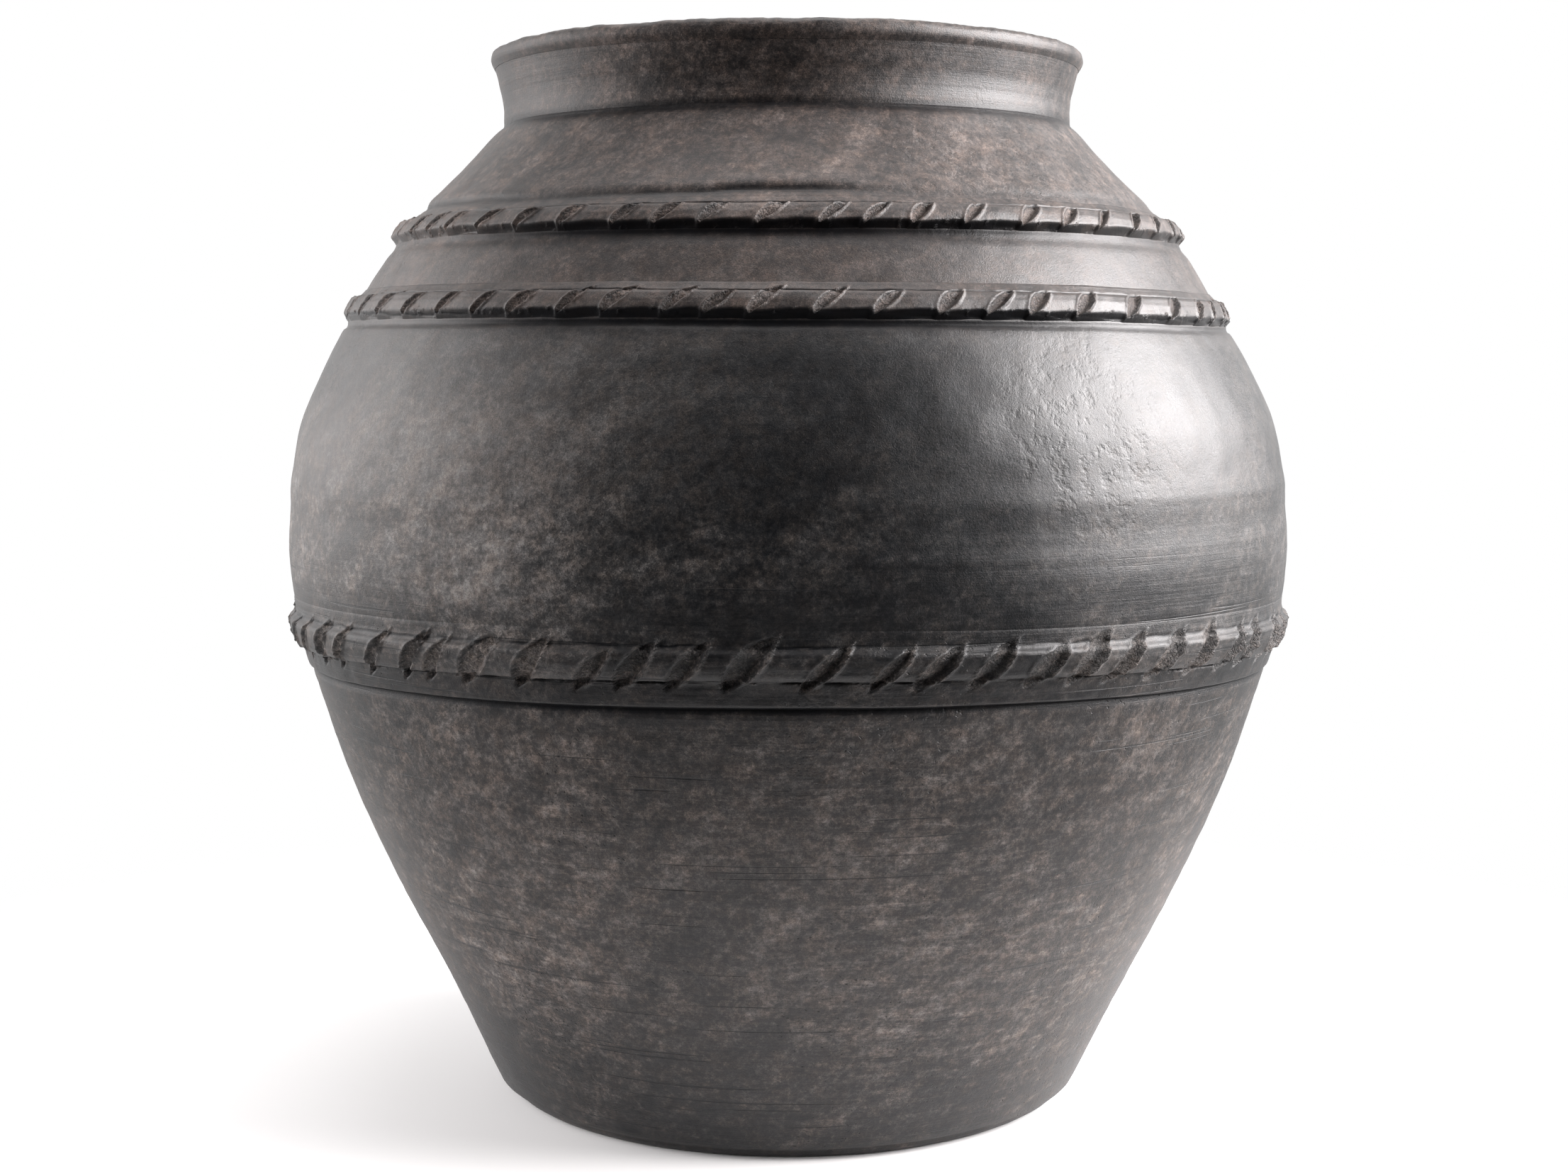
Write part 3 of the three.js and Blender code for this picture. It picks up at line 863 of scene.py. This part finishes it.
def clay(name):
    """Smoked black clay: a cloudy warm-grey bloom over near black, with wiping lines, pits and grain.
    It is burnished on the belly and, less, on the shoulder."""
    g = Graph(name)
    height = g.node("ShaderNodeSeparateXYZ", {"Vector": g.place}).outputs["Z"]
    # Painted shading from the meshes: painted shade in creases, notches, cracks, under the strips and across
    # the front of the belly, and painted light on the left of the belly.
    painted_shading = g.node("ShaderNodeAttribute", {}, attribute_name="painted_shading").outputs["Fac"]
    raw = g.node("ShaderNodeAttribute", {}, attribute_name="raw").outputs["Fac"]
    lines = wiped_lines(g, height)
    scratches = scratch_marks(g, height)
    pits = pit_marks(g, height)
    torn_grain = g.math("MULTIPLY", g.map(g.noise(1000, detail=3, roughness=0.75), 0.36, 0.64), raw)
    burnish = g.map(height, 0.26, 0.30, 0.0, 1.0, smooth=True)
    burnish = g.math("MULTIPLY", burnish, g.map(height, 0.40, 0.36, 0.35, 1.0, smooth=True))

    mottle = g.math("MULTIPLY", clay_mottle(g, lines), g.map(burnish, 0.0, 1.0, 1.15, 0.62))
    tone = g.math("ADD", clay_tone(g, height, painted_shading, scratches, torn_grain), mottle)
    # Pits are darkened in colour as painted shade in the hollows.
    shade = g.math("SUBTRACT", 1.0, g.math("MULTIPLY", pits, 0.8))
    shade = g.node("ShaderNodeCombineColor", {"Red": shade, "Green": shade, "Blue": shade})
    colour = g.mix(1.0, clay_colour(g, height, tone), shade.outputs["Color"], "MULTIPLY")

    # The painted shade lowers the specular too, so the painted creases stay dark.
    specular = g.map(painted_shading, 0.15, 0.9, 0.5, 0.1)
    specular = g.math("MULTIPLY", specular, g.map(height, 0.17, 0.25, 0.65, 1.0, smooth=True))
    g.tree.links.new(specular, g.shader.inputs["Specular IOR Level"])
    roughness = g.map(tone, 0.1, 0.8, 0.4, 0.54)
    roughness = g.math("SUBTRACT", roughness, g.math("MULTIPLY", burnish, 0.06))

    # Hollows in millimetres first, then lines and the clay's own grain.
    normal = None
    for hollow, depth in ((pits, 0.3), (knock_marks(g), 0.24), (scratches, 0.15)):
        normal = g.bump(g.math("MULTIPLY", hollow, -1.0), depth, normal)
    normal = g.bump(lines, 0.25, normal)
    normal = g.bump(g.noise(420, detail=4, roughness=0.8), 0.13, normal)
    normal = g.bump(g.noise(1900, detail=2, roughness=0.8), 0.12, normal)
    normal = g.bump(torn_grain, 0.4, normal)
    return g.finish(colour, roughness, normal)


# ---- Camera, floor and light --------------------------------------------------------------------

def paper():
    """A pale floor that fades out into the white studio round it, with no horizon."""
    g = Graph("floor_paper")
    g.shader.inputs["Base Color"].default_value = (0.82, 0.82, 0.82, 1)
    g.shader.inputs["Roughness"].default_value = 0.9
    distance = g.node("ShaderNodeVectorMath", {0: g.place}, operation="LENGTH").outputs["Value"]
    g.tree.links.new(g.map(distance, 0.16, 0.6, 1.0, 0.0, smooth=True), g.shader.inputs["Alpha"])
    return g.material


def ground_square(name, half):
    """A flat square on the ground, centred on the jar."""
    corners = np.array([(-half, -half, 0), (half, -half, 0), (half, half, 0), (-half, half, 0)])
    return mesh_object(name, corners, np.array([[0, 1, 2, 3]]), np.empty((0, 3), int))


# The camera looks along +Y and a little down, in metres, degrees and millimetres of lens and sensor.
CAMERA_PLACE = (0, -1.091, 0.333)
CAMERA_DOWN = 5.53
CAMERA_TURN = 0.08
CAMERA_LENS = 54.3
CAMERA_SENSOR = 36
LAMP_COLOUR = (1.0, 0.966, 0.966)


def photo_camera():
    camera = bpy.data.objects.new("camera", bpy.data.cameras.new("camera"))
    camera.data.lens = CAMERA_LENS
    camera.data.sensor_width = CAMERA_SENSOR
    camera.location = CAMERA_PLACE
    camera.rotation_euler = (math.radians(90 - CAMERA_DOWN), 0, math.radians(CAMERA_TURN))
    bpy.context.scene.collection.objects.link(camera)
    bpy.context.scene.camera = camera


def softbox(name, place, aim, size, power):
    lamp = bpy.data.lights.new(name, "AREA")
    lamp.shape = "RECTANGLE"
    lamp.size, lamp.size_y = size
    lamp.energy = power
    lamp.color = LAMP_COLOUR
    box = bpy.data.objects.new(name, lamp)
    box.location = place
    box.rotation_euler = (Vector(aim) - Vector(place)).to_track_quat("-Z", "Y").to_euler()
    bpy.context.scene.collection.objects.link(box)
    return box


def surroundings():
    """White paper behind the jar as the camera sees it. As light it is bright behind the jar and fades
    to near dark on the camera's side."""
    world = bpy.data.worlds.new("studio")
    bpy.context.scene.world = world
    world.use_nodes = True
    tree = world.node_tree
    background = tree.nodes["Background"]
    direction = tree.nodes.new("ShaderNodeTexCoord").outputs["Generated"]
    split = tree.nodes.new("ShaderNodeSeparateXYZ")
    tree.links.new(direction, split.inputs[0])
    fade = tree.nodes.new("ShaderNodeMapRange")
    fade.inputs["From Min"].default_value = -0.5
    fade.inputs["From Max"].default_value = 0.7
    fade.inputs["To Min"].default_value = 0.04
    fade.inputs["To Max"].default_value = 1.0
    tree.links.new(split.outputs["Y"], fade.inputs["Value"])
    seen = tree.nodes.new("ShaderNodeLightPath")
    pick = tree.nodes.new("ShaderNodeMix")
    pick.inputs[3].default_value = 1.0
    tree.links.new(seen.outputs["Is Camera Ray"], pick.inputs[0])
    tree.links.new(fade.outputs["Result"], pick.inputs[2])
    tree.links.new(pick.outputs[0], background.inputs["Strength"])
    background.inputs["Color"].default_value = (1, 1, 1, 1)


def studio():
    bpy.context.scene.view_settings.view_transform = "Standard"
    photo_camera()
    floor = ground_square("floor", 1.6)
    floor.data.materials.append(paper())
    floor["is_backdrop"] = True
    belly = (0, 0, 0.55 * (cad_high[2] - cad_low[2]))
    softbox("key_right", (1.5, -0.13, 0.95), belly, (1.5, 1.2), 125)
    softbox("fill_left", (-1.7, 0.4, 0.7), belly, (1.5, 1.4), 20)
    softbox("fill_left_matte", (-1.6, -0.6, 0.75), belly, (1.5, 1.4), 43).visible_glossy = False
    softbox("top", (0, 0.1, 1.9), belly, (1.2, 1.2), 12)
    surroundings()


# ---- Assembly -----------------------------------------------------------------------------------

def place(piece, node, slot, material):
    piece.data.materials.append(material)
    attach(piece, "root")
    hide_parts(node)


studio()
wall_clay = clay("wall_clay")
band_clay = clay("band_clay")

place(base_disc(), "base_disc", "wall_clay", wall_clay)
place(lower_wall(), "lower_wall", "wall_clay", wall_clay)

# The courses between the strips: the joints below and above, the outer and inner row spacing, and
# where rows stand closer.
edges = {name: seat_edges(band) for name, band in BANDS.items()}
COURSES = {
    "belly_lower_wall": ("band_lower", "belly", 1.3, 4, edges["band_lower"][1:]),
    "belly_upper_wall": ("belly", "band_middle", 1.2, 4, edges["band_middle"][:1]),
    "shoulder_ring": ("band_middle", "band_upper", 1.0, 3,
                      edges["band_middle"][1:] + edges["band_upper"][:1]),
    "upper_shoulder": ("band_upper", "neck", 0.9, 3, edges["band_upper"][1:]),
}
for name, (below, above, step, inner_step, fine) in COURSES.items():
    piece = course(name + "_clay", JOINT[below], JOINT[above], step, inner_step, fine)
    place(piece, name, "wall_clay", wall_clay)
place(neck(), "neck", "wall_clay", wall_clay)
place(lip(), "lip", "wall_clay", wall_clay)
for number, (name, band) in enumerate(BANDS.items()):
    place(pressed_strip(name, band, 100 * (number + 1)), name, "band_clay", band_clay)
